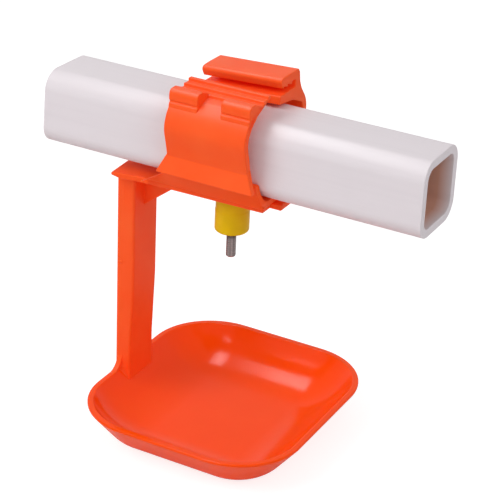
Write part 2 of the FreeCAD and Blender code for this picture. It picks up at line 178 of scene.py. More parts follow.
class DrinkerStage(bpy.types.PropertyGroup):
    """Camera and light of the studio"""
    azimuth: angle("Azimuth", 27.479, "Camera angle round the object from the front")
    elevation: angle("Elevation", 26.421, "Camera angle over the floor")
    roll: angle("Roll", 2.716, "Camera's turn about its own line of sight")
    distance: size("Distance", 487.13, "Camera's distance from the pipe's centre")
    right: size("Right", 5.38, "Camera's step to its right")
    down: size("Down", 29.873, "Camera's step down")
    lens: FloatProperty(name="Lens", description="Focal length on a 36 mm sensor", default=128.3,
                        min=1.0, unit="CAMERA")
    key: power("Key lamp", 4.3, "Power of the large lamp on the left")
    fill: power("Fill lamp", 1.6, "Power of the lamp on the right")
    window: power("Window", 1.6, "Power of the box overhead that only shows as a reflection")
    ambient: FloatProperty(name="Ambient", description="Strength of the even studio light",
                           default=0.5, min=0.0)


GROUPS = {"drinker_pipe": DrinkerPipe, "drinker_cup": DrinkerCup, "drinker_clamp": DrinkerClamp,
          "drinker_valve": DrinkerValve, "drinker_finish": DrinkerFinish,
          "drinker_stage": DrinkerStage}


def mm(group):
    """A group's lengths in millimetres, by name."""
    return {key: getattr(group, key) / MM for key in group.__annotations__}


# Surfaces

def grid_faces(rows, columns, wrap_rows):
    """Quads of a grid of points whose columns close on themselves, and whose rows may."""
    i = np.arange(rows if wrap_rows else rows - 1)[:, None]
    j = np.arange(columns)[None, :]
    below, beside = (i + 1) % rows, (j + 1) % columns
    quads = np.stack(np.broadcast_arrays(i * columns + j, i * columns + beside,
                                         below * columns + beside, below * columns + j), -1)
    return quads.reshape(-1, 4)


def outward(points, blocks):
    """The same blocks of faces, turned over if the volume that they enclose, the sum of
    p0 . (p1 - p0) x (p2 - p0) over the triangles of every face's fan, comes out negative."""
    volume = 0.0
    for block in blocks:
        corners = points[block]
        first = corners[:, :1]
        fans = np.cross(corners[:, 1:-1] - first, corners[:, 2:] - first)
        volume += np.sum(fans * first)
    return [block[:, ::-1] for block in blocks] if volume < 0 else blocks


def shell(rings, torus=False):
    """Closed surface through an array of rings, (ring, point, xyz): the first and last rings are
    capped, or for a torus joined to each other. Its faces are arrays of corner numbers."""
    rows, columns = rings.shape[:2]
    points = rings.reshape(-1, 3)
    blocks = [grid_faces(rows, columns, torus)]
    if not torus:
        around = np.arange(columns)[None, :]
        blocks += [around[:, ::-1], around + (rows - 1) * columns]
    return points, outward(points, blocks)


def build(name, shells, body, material, stands_for):
    """One object from closed surfaces in millimetres, with its place in its mesh."""
    points, faces, first = [], [], 0
    for shell_points, blocks in shells:
        points.append(shell_points * MM)
        for block in blocks:
            faces += (block + first).tolist()
        first += len(shell_points)
    mesh = bpy.data.meshes.new(name)
    mesh.from_pydata(np.concatenate(points), [], faces)
    mesh.shade_smooth()
    mesh.set_sharp_from_angle(angle=HARD_EDGE)
    mesh.materials.append(material)
    piece = bpy.data.objects.new(name, mesh)
    bpy.context.scene.collection.objects.link(piece)
    weighted = piece.modifiers.new("Even normals", "WEIGHTED_NORMAL")
    weighted.keep_sharp = True
    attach(piece, body)
    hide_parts(stands_for)
    return piece


def arc_of_corner(before, corner, after, radius, steps, share=0.48):
    """Points of the arc that rounds a corner: its centre stands radius / sin(half the angle) up the
    bisector, and the arc turns evenly between the two tangent points, which stay within a share of
    the shorter side. A corner that is nearly straight stays one point."""
    nearly_straight = math.radians(88)
    a, b = before - corner, after - corner
    a, b = a / np.linalg.norm(a), b / np.linalg.norm(b)
    half = math.acos(np.clip(a @ b, -1, 1)) / 2
    if radius <= 0 or half > nearly_straight:
        return corner[None, :]
    room = share * min(np.linalg.norm(before - corner), np.linalg.norm(after - corner))
    setback = min(radius / math.tan(half), room)
    radius = setback * math.tan(half)
    middle = corner + (a + b) / np.linalg.norm(a + b) * radius / math.sin(half)
    start, end = corner + a * setback - middle, corner + b * setback - middle
    turn = math.atan2(start[0] * end[1] - start[1] * end[0], start @ end)
    t = np.linspace(0, turn, steps)[:, None]
    side = np.array([-start[1], start[0]])
    return middle + start * np.cos(t) + side * np.sin(t)


def rounded(corners, steps=6):
    """Closed outline through (u, v, radius) corners with every corner rounded by its radius."""
    places = np.array([corner[:2] for corner in corners], float)
    after = np.roll(places, -1, 0)
    arcs = [arc_of_corner(places[i - 1], places[i], after[i], corners[i][2], steps)
            for i in range(len(places))]
    return np.concatenate(arcs)


def outline_normals(outline):
    """Outward unit normals of a closed outline that runs anticlockwise, longer at its corners so
    that a step along them moves both neighbouring sides by one. A very sharp corner gets less,
    because the cosine that its normal is divided by is never taken as under 0.7."""
    ahead = np.roll(outline, -1, 0) - outline
    ahead /= np.maximum(np.linalg.norm(ahead, axis=1, keepdims=True), 1e-9)
    behind = np.roll(ahead, 1, 0)
    mean = ahead + behind
    mean /= np.maximum(np.linalg.norm(mean, axis=1, keepdims=True), 1e-9)
    cosine = np.clip(np.sum(mean * ahead, axis=1, keepdims=True), 0.7, 1)
    return np.stack([mean[:, 1], -mean[:, 0]], 1) / cosine


def inset_share(outline, normals, edge):
    """Share of edge that each point can be drawn in before a side next to it turns over: the shares
    of both its ends shrink while a drawn-in side keeps less than the least share of its length."""
    least, shrink, rounds = 0.2, 0.8, 20
    share = np.ones(len(outline))
    side = np.roll(outline, -1, 0) - outline
    for _ in range(rounds):
        drawn = outline - normals * (edge * share)[:, None]
        kept = np.sum((np.roll(drawn, -1, 0) - drawn) * side, axis=1) / np.sum(side * side, axis=1)
        turned_over = kept < least
        share[turned_over | np.roll(turned_over, 1)] *= shrink
    return share


def carried(outline, start, end, edge, axes, rise=0.0, steps=5):
    """An outline carried in a straight line, with both ends rounded: the ring at angle a from the
    end stands edge * (1 - cos a) in from it and is drawn in by edge * (1 - sin a). rise lifts the
    second axis of the outline evenly on the way."""
    u, v = outline[:, 0], outline[:, 1]
    if np.sum(u * np.roll(v, -1) - v * np.roll(u, -1)) < 0:
        outline = outline[::-1]
    normals = outline_normals(outline)
    normals *= inset_share(outline, normals, edge)[:, None]
    a = np.linspace(0, math.pi / 2, steps)
    step, inset = edge * (1 - np.cos(a)), edge * (1 - np.sin(a))
    where = np.concatenate([start + step, (end - step)[::-1]])
    inset = np.concatenate([inset, inset[::-1]])
    flat = outline[None] - normals[None] * inset[:, None, None]
    flat[:, :, 1] += rise * ((where - start) / (end - start))[:, None]
    rings = np.empty(flat.shape[:2] + (3,))
    rings[:, :, axes[0]], rings[:, :, axes[1]] = flat[:, :, 0], flat[:, :, 1]
    rings[:, :, axes[2]] = where[:, None]
    return shell(rings)


# Axes of an outline's first and second value, and the one that it is carried along
ALONG_X, ALONG_Y, ALONG_Z = (1, 2, 0), (0, 2, 1), (0, 1, 2)


def square_ring(half_u, half_v, radius, steps=10):
    """Rounded rectangles about the origin, one per entry of the three arrays: each corner's centre
    is (half - radius) out, and its arc is radius * (cos, sin)."""
    turn = np.linspace(0, math.pi / 2, steps)
    around = np.concatenate([turn + k * math.pi / 2 for k in range(4)])
    side_u = np.repeat([1, -1, -1, 1], steps)
    side_v = np.repeat([1, 1, -1, -1], steps)
    half_u, half_v, radius = (np.asarray(x, float)[:, None] for x in (half_u, half_v, radius))
    return np.stack([side_u * (half_u - radius) + radius * np.cos(around),
                     side_v * (half_v - radius) + radius * np.sin(around)], -1)


def column(levels, corner, edge, axes, steps=5):
    """A rounded rectangle that changes as it is carried: levels is an array of (place, u from,
    u to, v from, v to), and both ends are rounded by edge as a carried outline's are. The corner
    radius stays just under half the narrower side."""
    levels = np.array(levels, float)
    a = np.linspace(0, math.pi / 2, steps)[:-1]
    step, inset = edge * (1 - np.cos(a)), edge * (1 - np.sin(a))
    first, last = np.repeat(levels[:1], steps - 1, 0), np.repeat(levels[-1:], steps - 1, 0)
    way = np.sign(levels[-1, 0] - levels[0, 0])
    levels[0, 0] += way * edge
    levels[-1, 0] -= way * edge
    first[:, 0] += way * step
    last[:, 0] -= way * step[::-1]
    grow = np.array([1, -1, 1, -1])
    first[:, 1:] += grow * inset[:, None]
    last[:, 1:] += grow * inset[::-1][:, None]
    levels = np.concatenate([first, levels, last])
    half_u, half_v = (levels[:, 2] - levels[:, 1]) / 2, (levels[:, 4] - levels[:, 3]) / 2
    radius = np.minimum(corner, 0.98 * np.minimum(half_u, half_v))
    flat = square_ring(half_u, half_v, radius, 6)
    rings = np.empty(flat.shape[:2] + (3,))
    rings[:, :, axes[0]] = flat[:, :, 0] + ((levels[:, 1] + levels[:, 2]) / 2)[:, None]
    rings[:, :, axes[1]] = flat[:, :, 1] + ((levels[:, 3] + levels[:, 4]) / 2)[:, None]
    rings[:, :, axes[2]] = levels[:, 0][:, None]
    return shell(rings)


def about_valve(radii, heights, sides):
    """Rings turned about the nipple axis, one per radius r and height z, where x = r cos t and
    y = r sin t."""
    t = np.linspace(0, 2 * math.pi, sides, endpoint=False)
    r, z = np.asarray(radii, float)[:, None], np.asarray(heights, float)[:, None]
    return np.stack([r * np.cos(t), r * np.sin(t), np.broadcast_to(z, (len(r), sides))], -1)


def turned(corners):
    """Closed ring turned about the nipple axis from (r, z, radius) corners, which are rounded."""
    outline = rounded(corners)
    return shell(about_valve(outline[:, 0], outline[:, 1], 96), torus=True)


def turned_solid(radii, heights):
    """Solid turned about the nipple axis, with a flat cap on its first and last rings."""
    return shell(about_valve(radii, heights, 64))


def smooth_line(points, count):
    """Natural cubic spline through points, with the distance between them as its parameter:
    the second derivatives m solve the usual three-term rows, and are nought at both ends."""
    p = np.array(points, float)
    t = np.concatenate([[0], np.cumsum(np.linalg.norm(np.diff(p, axis=0), axis=1))])
    h = np.diff(t)[:, None]
    n = len(p)
    rows = np.eye(n)
    right = np.zeros((n, 2))
    inner = np.arange(1, n - 1)
    rows[inner, inner - 1] = h[:-1, 0]
    rows[inner, inner] = 2 * (h[:-1, 0] + h[1:, 0])
    rows[inner, inner + 1] = h[1:, 0]
    right[1:-1] = 6 * (np.diff(p, axis=0)[1:] / h[1:] - np.diff(p, axis=0)[:-1] / h[:-1])
    m = np.linalg.solve(rows, right)
    at = np.linspace(0, t[-1], count)
    k = np.clip(np.searchsorted(t, at, side="right") - 1, 0, n - 2)
    a, b, w = (t[k + 1] - at)[:, None], (at - t[k])[:, None], h[k]
    return ((m[k] * a ** 3 + m[k + 1] * b ** 3) / (6 * w) + (p[k] / w - m[k] * w / 6) * a
            + (p[k + 1] / w - m[k + 1] * w / 6) * b)


# Finishes

def add_node(tree, kind, inputs=None, **settings):
    """Adds one node. Its settings are set by name, and then its inputs, by name or number: each is
    another node's output, which is linked, or a plain value."""
    node = tree.nodes.new(kind)
    for key, value in settings.items():
        setattr(node, key, value)
    for key, value in (inputs or {}).items():
        if isinstance(value, bpy.types.NodeSocket):
            tree.links.new(value, node.inputs[key])
        else:
            node.inputs[key].default_value = value
    return node


def new_material(name):
    """An empty material, its node tree, and the object's own coordinates in metres."""
    material = bpy.data.materials.new(name)
    material.use_nodes = True
    tree = material.node_tree
    tree.nodes.clear()
    return material, tree, add_node(tree, "ShaderNodeTexCoord").outputs["Object"]


def per_mm(period):
    """Scale of a pattern on coordinates in metres that repeats about every so many millimetres."""
    return 1 / (period * MM)


def bands(spacing, turn):
    """Scale of a wave pattern on coordinates in metres whose bands are so many millimetres apart.
    The wave turns by 20 radians for each unit along one axis, and diagonally by 10 along each of
    two, which is 10 * sqrt(2) straight across the bands."""
    return 2 * math.pi / (turn * spacing * MM)


def moulded_polypropylene(name, base, deep, roughness, reflection, texture):
    """Injection-moulded polypropylene: soft-edged reflections, a little light carried inside the
    wall, faint flow clouds in the colour and a fine tool texture. A faint red glow is painted on as
    emission, painted light that keeps the shade red."""
    material, tree, place = new_material(name)
    # Flow clouds about 14 mm across
    clouds = add_node(tree, "ShaderNodeTexNoise",
                      {"Vector": place, "Scale": per_mm(14), "Detail": 3.0}).outputs["Fac"]
    deeper = add_node(tree, "ShaderNodeMapRange",
                      {"Value": clouds, "From Min": 0.35, "From Max": 0.75, "To Min": 0.0,
                       "To Max": 0.45}).outputs["Result"]
    tint = add_node(tree, "ShaderNodeMix", {"Factor": deeper, "A": (*base, 1), "B": (*deep, 1)},
                    data_type="RGBA").outputs["Result"]
    rough = add_node(tree, "ShaderNodeMapRange",
                     {"Value": clouds, "From Min": 0.3, "From Max": 0.7,
                      "To Min": roughness - 0.03, "To Max": roughness + 0.03}).outputs["Result"]
    # Sink waves about 5 mm across
    waves = add_node(tree, "ShaderNodeTexNoise",
                     {"Vector": place, "Scale": per_mm(5), "Detail": 1.0}).outputs["Fac"]
    wavy = add_node(tree, "ShaderNodeBump",
                    {"Height": waves, "Strength": 0.12, "Distance": 0.15 * MM}).outputs["Normal"]
    # Tool texture about 0.4 mm across, coarser than the real one so that it still shows
    grain = add_node(tree, "ShaderNodeTexNoise",
                     {"Vector": place, "Scale": per_mm(0.4), "Detail": 2.0}).outputs["Fac"]
    normal = add_node(tree, "ShaderNodeBump",
                      {"Height": grain, "Normal": wavy, "Strength": texture,
                       "Distance": 0.02 * MM}).outputs["Normal"]
    # The emission paints a faint red glow all over, painted light in place of the red that the
    # plastic carries into its shade
    shader = add_node(tree, "ShaderNodeBsdfPrincipled",
                      {"Base Color": tint, "Roughness": rough, "Normal": normal, "IOR": 1.49,
                       "Specular IOR Level": reflection, "Subsurface Weight": 0.15,
                       "Subsurface Radius": (1.0, 0.1, 0.02), "Subsurface Scale": 2.5 * MM,
                       "Emission Color": (1, 0.004, 0, 1), "Emission Strength": 0.07})
    add_node(tree, "ShaderNodeOutputMaterial", {"Surface": shader.outputs["BSDF"]})
    return material


def sawn_faces(tree):
    """1 on the faces that look along X, which are sawn, and 0 on the others."""
    normal = add_node(tree, "ShaderNodeNewGeometry").outputs["True Normal"]
    split = add_node(tree, "ShaderNodeSeparateXYZ", {"Vector": normal})
    along = add_node(tree, "ShaderNodeMath", {0: split.outputs["X"]}, operation="ABSOLUTE")
    return add_node(tree, "ShaderNodeMapRange", {"Value": along.outputs["Value"], "From Min": 0.3,
                                                 "From Max": 0.98}).outputs["Result"]


def painted_bore_shade(tree, place, sawn, bore):
    """Mask of the painted warm shade in the bore: 1 on the bore's walls, which are bore millimetres
    from the pipe's axis, 0 outside and on the sawn faces. It fades out over the last 4 mm before
    each mouth."""
    fade_length, mouth, middle = 4.0, (PIPE_END - PIPE_START) / 2, (PIPE_START + PIPE_END) / 2
    split = add_node(tree, "ShaderNodeSeparateXYZ", {"Vector": place}).outputs
    x, z = (add_node(tree, "ShaderNodeMath", {0: split[axis], 1: centre * MM},
                     operation="SUBTRACT").outputs["Value"]
            for axis, centre in (("X", middle), ("Z", PIPE_MID)))
    along, across, up = (add_node(tree, "ShaderNodeMath", {0: value},
                                  operation="ABSOLUTE").outputs["Value"]
                         for value in (x, split["Y"], z))
    out = add_node(tree, "ShaderNodeMath", {0: across, 1: up}, operation="MAXIMUM")
    unsawn = add_node(tree, "ShaderNodeMapRange", {"Value": sawn, "To Min": 1.0, "To Max": 0.0})
    inside = add_node(tree, "ShaderNodeMapRange",
                      {"Value": along, "From Min": mouth * MM, "From Max": (mouth - fade_length) * MM,
                       "To Min": 0.0, "To Max": unsawn.outputs["Result"]})
    return add_node(tree, "ShaderNodeMapRange",
                    {"Value": out.outputs["Value"], "From Min": (bore + 0.1) * MM,
                     "From Max": (bore + 0.02) * MM,
                     "To Max": inside.outputs["Result"]}).outputs["Result"]


def extruded_pvc(name, finish, bore):
    """Extruded rigid vinyl: smooth and cool white, with faint streaks along the pipe, a few dark
    specks, a warm brown shade painted on the bore's walls, and a rougher face where it was sawn."""
    material, tree, place = new_material(name)
    # Streaks 1.5 mm wide and 60 mm long
    along = add_node(tree, "ShaderNodeMapping",
                     {"Vector": place, "Scale": (per_mm(60), per_mm(1.5), per_mm(1.5))})
    streaks = add_node(tree, "ShaderNodeTexNoise",
                       {"Vector": along.outputs["Vector"], "Scale": 1.0, "Detail": 3.0})
    darker = add_node(tree, "ShaderNodeMapRange",
                      {"Value": streaks.outputs["Fac"], "From Min": 0.4, "From Max": 0.8,
                       "To Min": 0.0, "To Max": 0.25}).outputs["Result"]
    tint = add_node(tree, "ShaderNodeMix",
                    {"Factor": darker, "A": (*finish.pipe, 1), "B": (*finish.pipe_shade, 1)},
                    data_type="RGBA").outputs["Result"]
    # Specks about 0.5 mm across, one to each cell of 9 mm
    cell, core, edge = 9, 0.198, 0.27
    cells = add_node(tree, "ShaderNodeTexVoronoi", {"Vector": place, "Scale": per_mm(cell)})
    speck = add_node(tree, "ShaderNodeMapRange",
                     {"Value": cells.outputs["Distance"], "From Min": core / cell,
                      "From Max": edge / cell, "To Min": 0.75, "To Max": 0.0}).outputs["Result"]
    dotted = add_node(tree, "ShaderNodeMix",
                      {"Factor": speck, "A": tint, "B": (*finish.pipe_speck, 1)},
                      data_type="RGBA").outputs["Result"]
    sawn = sawn_faces(tree)
    # Painted shade: the bore's walls take a warm brown
    bore_shaded = add_node(tree, "ShaderNodeMix",
                      {"Factor": painted_bore_shade(tree, place, sawn, bore), "A": dotted,
                       "B": (*finish.pipe_bore_shade, 1)}, data_type="RGBA").outputs["Result"]
    # Saw marks 2.23 mm apart, coarser than the real ones so that they still show
    marks = add_node(tree, "ShaderNodeTexWave",
                     {"Vector": place, "Scale": bands(2.233, math.hypot(10, 10)),
                      "Distortion": 1.5}, bands_direction="DIAGONAL")
    depth = add_node(tree, "ShaderNodeMath", {0: marks.outputs["Fac"], 1: sawn},
                     operation="MULTIPLY").outputs["Value"]
    normal = add_node(tree, "ShaderNodeBump",
                      {"Height": depth, "Strength": 0.6, "Distance": 0.1 * MM}).outputs["Normal"]
    rough = add_node(tree, "ShaderNodeMapRange",
                     {"Value": sawn, "To Min": 0.4, "To Max": 0.75}).outputs["Result"]
    shader = add_node(tree, "ShaderNodeBsdfPrincipled",
                      {"Base Color": bore_shaded, "Roughness": rough, "Normal": normal, "IOR": 1.53,
                       "Specular IOR Level": 0.14})
    add_node(tree, "ShaderNodeOutputMaterial", {"Surface": shader.outputs["BSDF"]})
    return material


def moulded_acetal(name, base):
    """Injection-moulded acetal: waxy and smooth, with slightly deeper clouds in its yellow."""
    material, tree, place = new_material(name)
    deeper = [channel * 0.82 for channel in base]
    # Clouds about 4 mm across, and a tool texture about 0.3 mm across
    clouds = add_node(tree, "ShaderNodeTexNoise",
                      {"Vector": place, "Scale": per_mm(4), "Detail": 2.0}).outputs["Fac"]
    tint = add_node(tree, "ShaderNodeMix", {"Factor": clouds, "A": (*base, 1), "B": (*deeper, 1)},
                    data_type="RGBA").outputs["Result"]
    fine = add_node(tree, "ShaderNodeTexNoise",
                    {"Vector": place, "Scale": per_mm(0.3)}).outputs["Fac"]
    normal = add_node(tree, "ShaderNodeBump",
                      {"Height": fine, "Strength": 0.1, "Distance": 0.02 * MM}).outputs["Normal"]
    shader = add_node(tree, "ShaderNodeBsdfPrincipled",
                      {"Base Color": tint, "Normal": normal, "IOR": 1.48, "Roughness": 0.33,
                       "Specular IOR Level": 0.15, "Subsurface Weight": 0.1,
                       "Subsurface Radius": (1.0, 0.7, 0.2), "Subsurface Scale": 0.8 * MM})
    add_node(tree, "ShaderNodeOutputMaterial", {"Surface": shader.outputs["BSDF"]})
    return material


def turned_steel(name, base, shade_tone):
    """Stainless steel turned from drawn rod: fine rings across the axis that stretch its highlight,
    lighter and darker streaks along it, and a dark band of painted shade where the pin leaves the
    cap."""
    material, tree, place = new_material(name)
    darker, lighter = ([channel * share for channel in base] for share in (0.68, 1.35))
    # Drawn streaks 0.9 mm wide and 25 mm long
    along = add_node(tree, "ShaderNodeMapping",
                     {"Vector": place, "Scale": (per_mm(0.9), per_mm(0.9), per_mm(25))})
    drawn = add_node(tree, "ShaderNodeTexNoise",
                     {"Vector": along.outputs["Vector"], "Scale": 1.0, "Detail": 1.0})
    streak = add_node(tree, "ShaderNodeMapRange",
                      {"Value": drawn.outputs["Fac"], "From Min": 0.35, "From Max": 0.65})
    metal = add_node(tree, "ShaderNodeMix",
                     {"Factor": streak.outputs["Result"], "A": (*darker, 1), "B": (*lighter, 1)},
                     data_type="RGBA").outputs["Result"]
    # Painted shade below the cap: it starts 3.1 mm below the imported cap's foot and is at its
    # darkest 0.9 mm higher
    height = add_node(tree, "ShaderNodeSeparateXYZ", {"Vector": place}).outputs["Z"]
    painted_cap_shade = add_node(tree, "ShaderNodeMapRange",
                    {"Value": height, "From Min": (CAP_FOOT - 3.1) * MM,
                     "From Max": (CAP_FOOT - 2.2) * MM, "To Max": 0.8}).outputs["Result"]
    shaded_metal = add_node(tree, "ShaderNodeMix", {"Factor": painted_cap_shade, "A": metal, "B": (*shade_tone, 1)},
                       data_type="RGBA").outputs["Result"]
    # Turning rings 0.69 mm apart, coarser than the real ones so that they still show
    rings = add_node(tree, "ShaderNodeTexWave",
                     {"Vector": place, "Scale": bands(0.6908, 20), "Distortion": 0.4,
                      "Detail": 1.0}, bands_direction="Z").outputs["Fac"]
    normal = add_node(tree, "ShaderNodeBump",
                      {"Height": rings, "Strength": 0.35, "Distance": 0.02 * MM}).outputs["Normal"]
    rough = add_node(tree, "ShaderNodeMapRange",
                     {"Value": rings, "To Min": 0.2, "To Max": 0.3}).outputs["Result"]
    shader = add_node(tree, "ShaderNodeBsdfPrincipled",
                      {"Base Color": shaded_metal, "Roughness": rough, "Normal": normal,
                       "Metallic": 1.0})
    add_node(tree, "ShaderNodeOutputMaterial", {"Surface": shader.outputs["BSDF"]})
    return material


def moulded_rubber(name, base):
    """Moulded nitrile rubber: near black and dull, with a fine bloom."""
    material, tree, place = new_material(name)
    # Bloom about 0.5 mm across
    bloom = add_node(tree, "ShaderNodeTexNoise", {"Vector": place, "Scale": per_mm(0.5)})
    rough = add_node(tree, "ShaderNodeMapRange",
                     {"Value": bloom.outputs["Fac"], "To Min": 0.55, "To Max": 0.8})
    shader = add_node(tree, "ShaderNodeBsdfPrincipled",
                      {"Base Color": (*base, 1), "Roughness": rough.outputs["Result"],
                       "IOR": 1.52})
    add_node(tree, "ShaderNodeOutputMaterial", {"Surface": shader.outputs["BSDF"]})
    return material


def material_of(context, name):
    """The named finish, made once and then shared."""
    found = bpy.data.materials.get(name)
    if found:
        return found
    finish = context.scene.drinker_finish
    bore = PIPE_HALF - mm(context.scene.drinker_pipe)["wall"]
    makers = {
        "Polypropylene from a satin mould": lambda: moulded_polypropylene(
            name, finish.orange, finish.orange_deep, roughness=0.46, reflection=0.15, texture=0.12),
        "Polypropylene from a polished mould": lambda: moulded_polypropylene(
            name, finish.orange_cup, finish.orange_deep, roughness=0.17, reflection=0.11,
            texture=0.05),
        "Extruded PVC": lambda: extruded_pvc(name, finish, bore),
        "Moulded acetal": lambda: moulded_acetal(name, finish.yellow),
        "Turned steel": lambda: turned_steel(name, finish.steel, finish.painted_cap_shade),
        "Moulded rubber": lambda: moulded_rubber(name, finish.rubber),
    }
    return makers[name]()


# Water pipe

def pipe_tube(pipe):
    """Rounded square rings along the outside and back through the bore: at inset d the half size is
    half - d and the corner radius is corner - d, and a quarter turn of radius burr joins each to
    the sawn face. The left end's x grows by lean times the height and by skew times y, each
    over the half size."""
    a = np.linspace(0, math.pi / 2, 5)
    burr, wall = pipe["burr"], pipe["wall"]
    run, drop = burr * (1 - np.sin(a)), burr * (1 - np.cos(a))
    x = np.concatenate([PIPE_START + run[::-1], PIPE_END - run, PIPE_END - run[::-1],
                        PIPE_START + run])
    inset = np.concatenate([drop[::-1], drop, wall - drop[::-1], wall - drop])
    flat = square_ring(PIPE_HALF - inset, PIPE_HALF - inset, pipe["corner"] - inset)
    cut = (pipe["lean"] * flat[:, :, 1] + pipe["skew"] * flat[:, :, 0]) / PIPE_HALF
    rings = np.empty(flat.shape[:2] + (3,))
    rings[:, :, 0] = x[:, None] + (x < 0)[:, None] * cut
    rings[:, :, 1] = flat[:, :, 0]
    rings[:, :, 2] = flat[:, :, 1] + PIPE_MID
    return shell(rings, torus=True)


class DRINKER_OT_pipe(bpy.types.Operator):
    """Square water pipe with its bore and sawn ends"""
    bl_idname = "drinker.pipe"
    bl_label = "Water pipe"

    def execute(self, context):
        pipe = mm(context.scene.drinker_pipe)
        build("square_pipe", [pipe_tube(pipe)], "fixture",
              material_of(context, "Extruded PVC"), "water_pipe")
        return {"FINISHED"}


# Saddle clamp

# Outer lines of the jaws, as (out from the pipe's side, above its top), from the bulge up
BULGE = (6.9, -4.2)
FRONT_RISE = [BULGE, (6.2, -1.2), (4.4, 1.6), (1.9, 3.6)]
REAR_RISE = [BULGE, (6.3, -1.6), (5.0, 0.4), (3.1, 2.9), (2.1, 5.2)]

# Back of the hook, and section of a finger boss, as (out, above, corner radius)
HOOK_BACK = [(2.1, 5.2, 1.0), (1.7, 7.7, 0.6), (0.9, 8.8, 0.7)]
BOSS = [(0.8, 2.8, 0.2), (-2.4, 3.7, 0.2), (-2.4, 4.6, 0.2), (1.5, 6.2, 0.6), (4.6, 6.2, 1.6),
        (4.6, 3.2, 0.4), (4.1, 2.8, 0.3), (4.7, 2.2, 0.5), (4.9, 0.0, 0.3), (4.4, -0.8, 0.3)]


def jaw_lines(rise, wall):
    """Outer line of a jaw from its waist up and the same line one wall thickness further in, as
    (out from the pipe's centre, height)."""
    points = 48
    waist = np.array([WAIST_GAP, WAIST - PIPE_TOP])
    middle = (waist + rise[0]) / 2
    outer = smooth_line([waist, middle] + rise, points) + [PIPE_HALF, PIPE_TOP]
    tangent = np.gradient(outer, axis=0)
    tangent /= np.linalg.norm(tangent, axis=1, keepdims=True)
    inner = outer + np.stack([-tangent[:, 1], tangent[:, 0]], 1) * wall
    return outer, inner


def plain(points):
    """Corners with no rounding, from an array of points."""
    return [(u, v, 0) for u, v in points]


def front_jaw(clamp):
    """Front jaw and its tongue: up the outer line, along the saw teeth to the tip, back below them
    and down the inner line. Each tooth's crest lies slope times its distance from the tip lower."""
    outer, inner = jaw_lines(FRONT_RISE, clamp["wall"])
    reach, tip, slope = 4.0, PIPE_TOP + 6.2, 0.3
    tip_length, tip_thickness, thickness = 1.4, 0.6, 1.8
    teeth, pitch, height, back = 3, 2.4, 0.8, 0.15
    corners = plain(outer)
    for i in reversed(range(teeth)):
        place, crest = reach + tip_length + i * pitch, tip - i * pitch * slope
        corners += [(place + back, crest - height, 0.12), (place, crest, 0.15)]
    run = teeth * pitch
    corners += [(reach, tip, 0.25), (reach, tip - tip_thickness, 0.25),
                (reach + run, tip - run * slope - thickness, 0.6)]
    corners += plain(inner[::-1])
    outline = rounded(corners, 5) * [-1, 1]
    half = clamp["length"] / 2
    return carried(outline, -half, half, clamp["edge"], ALONG_X)


def rear_jaw(clamp):
    """Rear jaw and its hook: up the outer line and the hook's back, over the lip, through the
    toothed slot, round the ramp and down the inner line. The whole stands lower at its arm end."""
    outer, inner = jaw_lines(REAR_RISE, clamp["wall"])
    front, nose, ramp, slot_end = 1.0, 3.1, 1.4, 10.2
    top, lip, slot, ramp_thickness = PIPE_TOP + 8.7, 2.5, 2.2, 2.5
    roof, floor = top - lip, top - lip - slot
    teeth, height, back = 3, 0.7, 0.25
    pitch = (slot_end - nose) / teeth
    corners = plain(outer[:-1])
    corners += [(PIPE_HALF + out, PIPE_TOP + up, radius) for out, up, radius in HOOK_BACK]
    corners += [(6.0, top + 0.2, 2.0), (front, top, 1.0), (nose, roof - height, 0.35)]
    for i in range(teeth):
        root = nose + back + i * pitch
        corners.append((root, roof, 0.1))
        if i < teeth - 1:
            corners.append((root + pitch - back, roof - height, 0.15))
    corners += [(slot_end, roof, 0.4), (slot_end, floor, 0.4), (ramp, floor, 0.4),
                (ramp, floor - ramp_thickness, 0.4), (PIPE_HALF - 1.6, PIPE_TOP + 0.5, 1.2)]
    below_ramp = inner[:, 1] < PIPE_TOP - 1.6
    corners += plain(inner[below_ramp][::-1])
    outline = rounded(corners, 5)
    outline[:, 1] -= clamp["sag"]
    half = clamp["length"] / 2
    return carried(outline, -half, half, clamp["edge"], ALONG_X, rise=clamp["sag"])


def boss(clamp, side):
    """Finger boss with a groove below its rounded nose, at one end of the front jaw."""
    corners = [(-PIPE_HALF - out, PIPE_TOP + up, radius) for out, up, radius in BOSS]
    half, length = clamp["length"] / 2, 8.8
    start, end = sorted((side * half, side * (half - length)))
    return carried(rounded(corners), start, end, clamp["edge"], ALONG_X)


def foot(clamp, side):
    """Skirt below a jaw's waist that spreads outwards and to both ends as it goes down."""
    half, out = clamp["length"] / 2, PIPE_HALF + WAIST_GAP
    overlap, drop, flare_out, flare_along, edge_wall = 1.6, 4.2, 1.6, 2.5, 1.9
    levels = [(z, -reach, reach, *sorted((side * (face - wall), side * face)))
              for z, reach, face, wall in (
                  (WAIST + overlap, half, out, clamp["wall"]),
                  (WAIST - drop, half + flare_along, out + flare_out, edge_wall))]
    return column(levels, 0.35, clamp["edge"], ALONG_Z)


def jaw_root(clamp, side):
    """Rib between a jaw and the trough's side wall."""
    height, setback = 2.4, 1.9
    wall = TROUGH_HALF - TROUGH_WALL / 2
    inside = PIPE_HALF + WAIST_GAP - clamp["wall"]
    middle = inside + clamp["wall"] / 2
    low = TROUGH_TOP - height
    corners = [(side * wall, low, 0.2), (side * wall, TROUGH_TOP, 0.2), (side * inside, WAIST, 0.2),
               (side * middle, WAIST, 0.2), (side * middle, low, 0.2),
               (side * TROUGH_HALF, low, 0.2)]
    half = clamp["length"] / 2 - setback
    return carried(rounded(corners), -half, half, clamp["edge"], ALONG_X)


